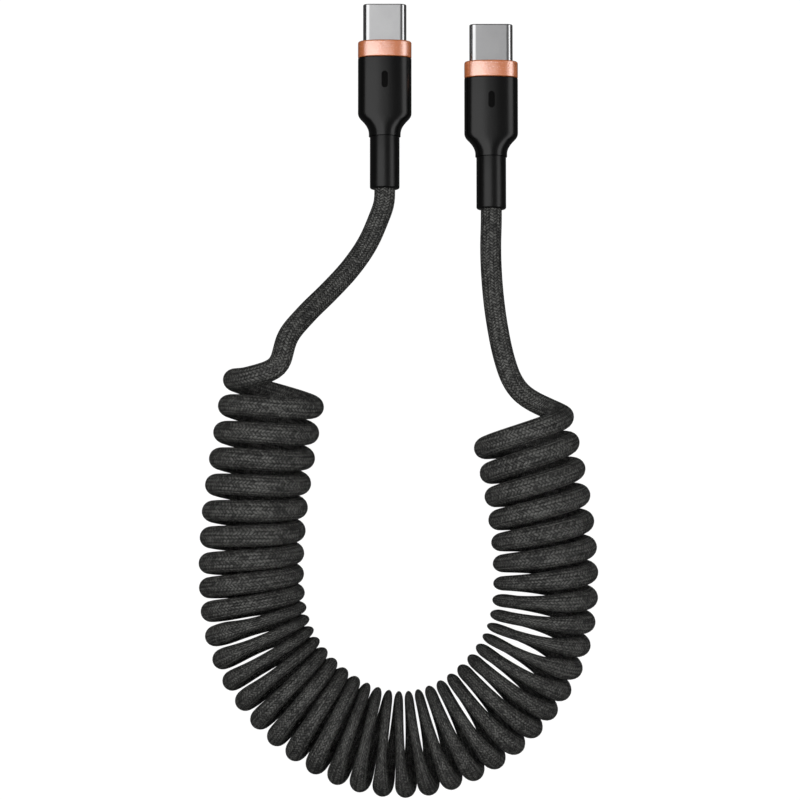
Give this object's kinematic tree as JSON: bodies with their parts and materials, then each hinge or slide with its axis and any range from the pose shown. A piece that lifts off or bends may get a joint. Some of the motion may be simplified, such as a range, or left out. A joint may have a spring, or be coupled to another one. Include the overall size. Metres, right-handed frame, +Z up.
{
  "type": "coiled usb-c cable",
  "caption": "Curly braided USB-C cable with a straight metal-trimmed plug on each end, its coil lying bent in a U.",
  "frame": {"origin": "on the floor, in the middle of the box around the two plugs", "axes": "+Y the way the plugs point, +Z up from the floor, +X from plug a to plug b"},
  "size_m": [0.0744, 0.1497, 0.0196],
  "materials": {
    "shell": "polished",
    "insulator": "matte",
    "contacts": "gold plated",
    "trim": "bead-blasted rose-gold anodised",
    "housing": "satin",
    "strain_relief": "satin",
    "cord": "fine braid"
  },
  "bodies": {
    "root": {"plug_a_shell": "shell", "plug_a_insulator": "insulator", "plug_a_contacts_upper": "contacts", "plug_a_contacts_lower": "contacts", "plug_a_trim_ring": "trim", "plug_a_housing": "housing", "plug_a_strain_relief": "strain_relief", "plug_b_shell": "shell", "plug_b_insulator": "insulator", "plug_b_contacts_upper": "contacts", "plug_b_contacts_lower": "contacts", "plug_b_trim_ring": "trim", "plug_b_housing": "housing", "plug_b_strain_relief": "strain_relief", "cord_tail_a": "cord", "cord_coil": "cord", "cord_tail_b": "cord"}
  },
  "joints": []
}
